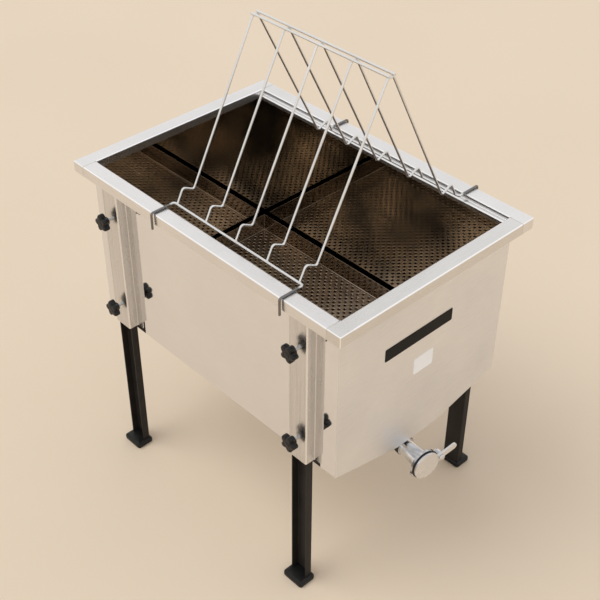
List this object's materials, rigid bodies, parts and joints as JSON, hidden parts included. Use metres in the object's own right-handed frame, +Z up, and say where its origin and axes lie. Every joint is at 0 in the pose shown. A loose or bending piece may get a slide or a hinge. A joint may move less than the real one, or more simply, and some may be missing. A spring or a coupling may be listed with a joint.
{
  "type": "uncapping tank",
  "caption": "Stainless uncapping tank: trough-bottomed tub with a lift-out sieve, clamp-knob sliding legs, a wire rack across the rim and a swing-gate honey valve.",
  "frame": {"origin": "on the floor, under the middle of the object's length and width", "axes": "+X along the tub towards the outlet valve, +Y across the tub towards its back side, +Z up"},
  "size_m": [0.8582, 0.598, 1.1178],
  "materials": {
    "polished_steel": "mirror-polished stainless sheet",
    "satin_steel": "satin stainless sheet",
    "sieve_steel": "perforated stainless sheet",
    "coated_steel": "satin dark powder coat",
    "foot_plastic": "matt moulded plastic",
    "knob_plastic": "matt moulded plastic",
    "plated_steel": "bright zinc plating",
    "valve_metal": "polished plated casting",
    "seal_rubber": "dark rubber",
    "rack_wire": "bright drawn stainless wire"
  },
  "bodies": {
    "tank": {"tub_wrap": "polished_steel", "outlet_wall": "polished_steel", "rear_wall": "polished_steel", "front_rim": "satin_steel", "back_rim": "satin_steel", "outlet_rim": "satin_steel", "rear_rim": "satin_steel", "tray_rest_outlet": "polished_steel", "tray_rest_rear": "polished_steel", "sleeve_front_outlet": "polished_steel", "sleeve_front_rear": "polished_steel", "sleeve_back_outlet": "polished_steel", "sleeve_back_rear": "polished_steel", "clamp_nuts": "plated_steel", "outlet_bend": "valve_metal", "valve_gasket": "seal_rubber", "valve_spout": "valve_metal", "mouth_seal": "seal_rubber", "pivot_screw": "plated_steel", "spring_washer": "plated_steel", "lock_nut": "plated_steel"},
    "front_outlet_leg": {"leg_front_outlet": "coated_steel", "foot_front_outlet": "foot_plastic"},
    "front_rear_leg": {"leg_front_rear": "coated_steel", "foot_front_rear": "foot_plastic"},
    "back_outlet_leg": {"leg_back_outlet": "coated_steel", "foot_back_outlet": "foot_plastic"},
    "back_rear_leg": {"leg_back_rear": "coated_steel", "foot_back_rear": "foot_plastic"},
    "front_outlet_upper_knob": {"knob_front_outlet_upper": "knob_plastic", "stud_front_outlet_upper": "plated_steel"},
    "front_outlet_lower_knob": {"knob_front_outlet_lower": "knob_plastic", "stud_front_outlet_lower": "plated_steel"},
    "front_rear_upper_knob": {"knob_front_rear_upper": "knob_plastic", "stud_front_rear_upper": "plated_steel"},
    "front_rear_lower_knob": {"knob_front_rear_lower": "knob_plastic", "stud_front_rear_lower": "plated_steel"},
    "back_outlet_upper_knob": {"knob_back_outlet_upper": "knob_plastic", "stud_back_outlet_upper": "plated_steel"},
    "back_outlet_lower_knob": {"knob_back_outlet_lower": "knob_plastic", "stud_back_outlet_lower": "plated_steel"},
    "back_rear_upper_knob": {"knob_back_rear_upper": "knob_plastic", "stud_back_rear_upper": "plated_steel"},
    "back_rear_lower_knob": {"knob_back_rear_lower": "knob_plastic", "stud_back_rear_lower": "plated_steel"},
    "gate": {"gate_plate": "valve_metal"},
    "rack": {"rack_rail_front": "rack_wire", "rack_rail_back": "rack_wire", "ridge_wire_front": "rack_wire", "ridge_wire_back": "rack_wire", "rack_hoop_1": "rack_wire", "rack_hoop_2": "rack_wire", "rack_hoop_3": "rack_wire", "rack_hoop_4": "rack_wire", "rack_hoop_5": "rack_wire"},
    "sieve": {"sieve_sheet": "sieve_steel", "sieve_sides": "sieve_steel"}
  },
  "joints": [
    {"name": "front_outlet_leg_slide", "type": "slide", "parent": "tank", "child": "front_outlet_leg", "axis": [0, 0, -1], "range_m": [0, 0.24]},
    {"name": "front_rear_leg_slide", "type": "slide", "parent": "tank", "child": "front_rear_leg", "axis": [0, 0, -1], "range_m": [0, 0.24]},
    {"name": "back_outlet_leg_slide", "type": "slide", "parent": "tank", "child": "back_outlet_leg", "axis": [0, 0, -1], "range_m": [0, 0.24]},
    {"name": "back_rear_leg_slide", "type": "slide", "parent": "tank", "child": "back_rear_leg", "axis": [0, 0, -1], "range_m": [0, 0.24]},
    {"name": "front_outlet_upper_knob_turn", "type": "hinge", "parent": "tank", "child": "front_outlet_upper_knob", "pos_m": [0.26891, -0.27, 0.669], "axis": [0, -1, 0], "continuous": true},
    {"name": "front_outlet_lower_knob_turn", "type": "hinge", "parent": "tank", "child": "front_outlet_lower_knob", "pos_m": [0.26891, -0.27, 0.436], "axis": [0, -1, 0], "continuous": true},
    {"name": "front_rear_upper_knob_turn", "type": "hinge", "parent": "tank", "child": "front_rear_upper_knob", "pos_m": [-0.31509, -0.27, 0.669], "axis": [0, -1, 0], "continuous": true},
    {"name": "front_rear_lower_knob_turn", "type": "hinge", "parent": "tank", "child": "front_rear_lower_knob", "pos_m": [-0.31509, -0.27, 0.436], "axis": [0, -1, 0], "continuous": true},
    {"name": "back_outlet_upper_knob_turn", "type": "hinge", "parent": "tank", "child": "back_outlet_upper_knob", "pos_m": [0.26891, 0.27, 0.669], "axis": [0, 1, 0], "continuous": true},
    {"name": "back_outlet_lower_knob_turn", "type": "hinge", "parent": "tank", "child": "back_outlet_lower_knob", "pos_m": [0.26891, 0.27, 0.436], "axis": [0, 1, 0], "continuous": true},
    {"name": "back_rear_upper_knob_turn", "type": "hinge", "parent": "tank", "child": "back_rear_upper_knob", "pos_m": [-0.31509, 0.27, 0.669], "axis": [0, 1, 0], "continuous": true},
    {"name": "back_rear_lower_knob_turn", "type": "hinge", "parent": "tank", "child": "back_rear_lower_knob", "pos_m": [-0.31509, 0.27, 0.436], "axis": [0, 1, 0], "continuous": true},
    {"name": "gate_swing", "type": "hinge", "parent": "tank", "child": "gate", "pos_m": [0.41546, 0.00243, 0.3064], "axis": [-0.9903, 0.1392, 0], "range_deg": [0, 75]},
    {"name": "rack_lift", "type": "slide", "parent": "tank", "child": "rack", "axis": [0, 0, 1], "range_m": [0, 0.3]},
    {"name": "sieve_lift", "type": "slide", "parent": "tank", "child": "sieve", "axis": [0, 0, 1], "range_m": [0, 0.3]}
  ]
}
